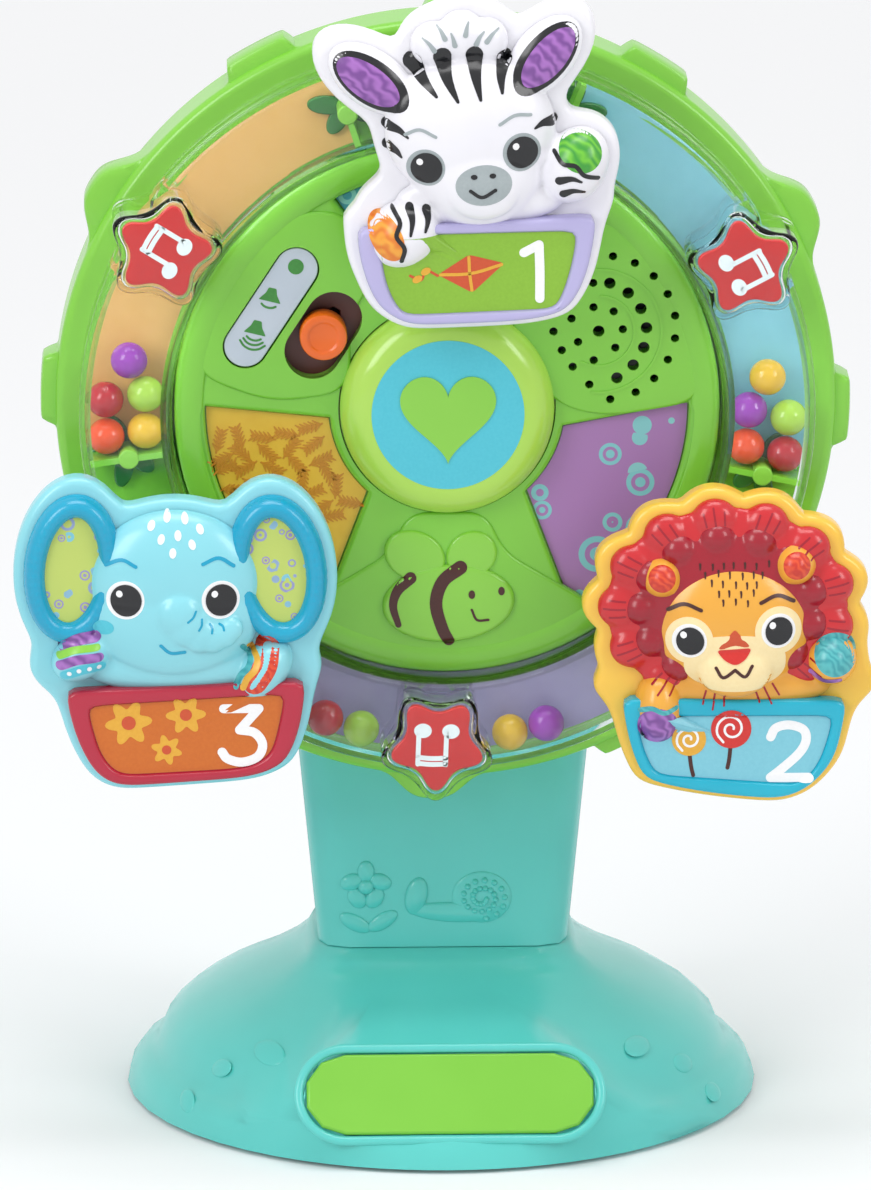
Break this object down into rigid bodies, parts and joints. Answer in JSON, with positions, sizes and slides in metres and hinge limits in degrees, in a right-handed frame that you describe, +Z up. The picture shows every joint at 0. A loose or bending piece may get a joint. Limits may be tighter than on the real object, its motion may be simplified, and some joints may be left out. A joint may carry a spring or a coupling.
{
  "type": "toy ferris wheel",
  "caption": "Table-top toy ferris wheel on a suction base: a hand-turned rattling wheel with hanging animal gondolas, a press button and a volume slide.",
  "frame": {"origin": "on the table, at the bottom centre of the bounding box, which is under the wheel's hub", "axes": "+Z up, the front with the button and the gondolas faces -Y, +X to the viewer's right"},
  "size_m": [0.1965, 0.1506, 0.2757],
  "materials": {
    "turquoise_plastic": "smooth gloss",
    "green_plastic": "smooth gloss",
    "silver_plate": "silver-grey printed plate",
    "clear_rubber": "soft milky rubber",
    "black_rubber": "matt",
    "black_plastic": "matt",
    "plated_steel": "plated",
    "cell_jacket": "printed jacket",
    "circuit_board": "solder mask",
    "lamp": "clear lens",
    "pale_green_lens": "translucent",
    "maroon_plastic": "smooth",
    "orange_plastic": "smooth gloss",
    "gold_label": "printed film",
    "purple_label": "printed film",
    "teal_label": "printed film",
    "clear_plastic": "clear polystyrene, polished",
    "red_plastic": "smooth",
    "sky_label": "printed film",
    "tan_label": "printed film",
    "lavender_label": "printed film",
    "purple_ball": "smooth",
    "red_ball": "smooth",
    "lime_ball": "smooth",
    "orange_ball": "smooth",
    "yellow_ball": "smooth",
    "white_plastic": "smooth",
    "lavender_plastic": "smooth",
    "pale_blue_plastic": "smooth",
    "blue_plastic": "smooth",
    "crimson_plastic": "smooth",
    "yellow_plastic": "smooth",
    "amber_plastic": "smooth",
    "cyan_plastic": "smooth"
  },
  "bodies": {
    "stand": {"suction_cup": "clear_rubber", "base_bottom": "turquoise_plastic", "base_shell": "turquoise_plastic", "name_plate": "silver_plate", "pedestal_front": "turquoise_plastic", "pedestal_rear": "turquoise_plastic", "battery_left": "cell_jacket", "battery_right": "cell_jacket", "battery_contact_top": "plated_steel", "battery_contact_bottom": "plated_steel", "battery_door": "turquoise_plastic", "hub_drum": "green_plastic", "hub_cover": "green_plastic", "gold_label": "gold_label", "purple_label": "purple_label", "teal_label": "teal_label", "circuit_board": "circuit_board", "speaker": "black_plastic", "button_lamp": "lamp", "button_dome": "black_rubber", "slot_tray": "maroon_plastic", "volume_switch": "black_plastic", "volume_plate": "silver_plate"},
    "heart_button": {"heart_button": "pale_green_lens"},
    "volume_knob": {"volume_knob": "orange_plastic"},
    "wheel": {"wheel_ring": "green_plastic", "clear_cover": "clear_plastic", "star_right": "red_plastic", "star_left": "red_plastic", "star_bottom": "red_plastic", "channel_label_right": "sky_label", "channel_label_left": "tan_label", "channel_label_bottom": "lavender_label", "zebra_pin": "plated_steel", "elephant_pin": "plated_steel", "lion_pin": "plated_steel"},
    "zebra": {"zebra_plaque": "white_plastic", "zebra_figure": "white_plastic", "zebra_basket": "lavender_plastic"},
    "elephant": {"elephant_plaque": "pale_blue_plastic", "elephant_figure": "blue_plastic", "elephant_basket": "crimson_plastic"},
    "lion": {"lion_plaque": "yellow_plastic", "lion_figure": "amber_plastic", "lion_basket": "cyan_plastic"},
    "beads_left": {"ball_left_yellow": "yellow_ball", "ball_left_lime": "lime_ball", "ball_left_orange": "orange_ball", "ball_left_red": "red_ball", "ball_left_purple": "purple_ball"},
    "beads_right": {"ball_right_orange": "orange_ball", "ball_right_purple": "purple_ball", "ball_right_red": "red_ball", "ball_right_lime": "lime_ball", "ball_right_yellow": "yellow_ball"},
    "beads_bottom_left": {"ball_bottom_left_lime": "lime_ball", "ball_bottom_left_red": "red_ball", "ball_bottom_left_orange": "orange_ball"},
    "beads_bottom_right": {"ball_bottom_right_yellow": "yellow_ball", "ball_bottom_right_purple": "purple_ball"}
  },
  "joints": [
    {"name": "wheel_spin", "type": "hinge", "parent": "stand", "child": "wheel", "pos_m": [0, 0, 0.1731], "axis": [0, 1, 0], "continuous": true},
    {"name": "zebra_swing", "type": "hinge", "parent": "wheel", "child": "zebra", "pos_m": [0.00262, 0, 0.24805], "axis": [0, 1, 0], "continuous": true},
    {"name": "elephant_swing", "type": "hinge", "parent": "wheel", "child": "elephant", "pos_m": [-0.06622, 0, 0.13789], "axis": [0, 1, 0], "continuous": true},
    {"name": "lion_swing", "type": "hinge", "parent": "wheel", "child": "lion", "pos_m": [0.0636, 0, 0.13336], "axis": [0, 1, 0], "continuous": true},
    {"name": "heart_press", "type": "slide", "parent": "stand", "child": "heart_button", "axis": [0, 1, 0], "range_m": [0, 0.002], "stiffness_N_per_m": 300, "springref_m": -0.0015},
    {"name": "volume_slide", "type": "slide", "parent": "stand", "child": "volume_knob", "axis": [0.5446, 0, 0.8387], "range_m": [-0.0044, 0.0044]},
    {"name": "beads_left_roll", "type": "hinge", "parent": "wheel", "child": "beads_left", "pos_m": [0, 0, 0.1731], "axis": [0, 1, 0], "range_deg": [0, 8]},
    {"name": "beads_right_roll", "type": "hinge", "parent": "wheel", "child": "beads_right", "pos_m": [0, 0, 0.1731], "axis": [0, 1, 0], "range_deg": [-8, 0]},
    {"name": "beads_bottom_left_roll", "type": "hinge", "parent": "wheel", "child": "beads_bottom_left", "pos_m": [0, 0, 0.1731], "axis": [0, 1, 0], "range_deg": [0, 8]},
    {"name": "beads_bottom_right_roll", "type": "hinge", "parent": "wheel", "child": "beads_bottom_right", "pos_m": [0, 0, 0.1731], "axis": [0, 1, 0], "range_deg": [-14, 0]}
  ]
}
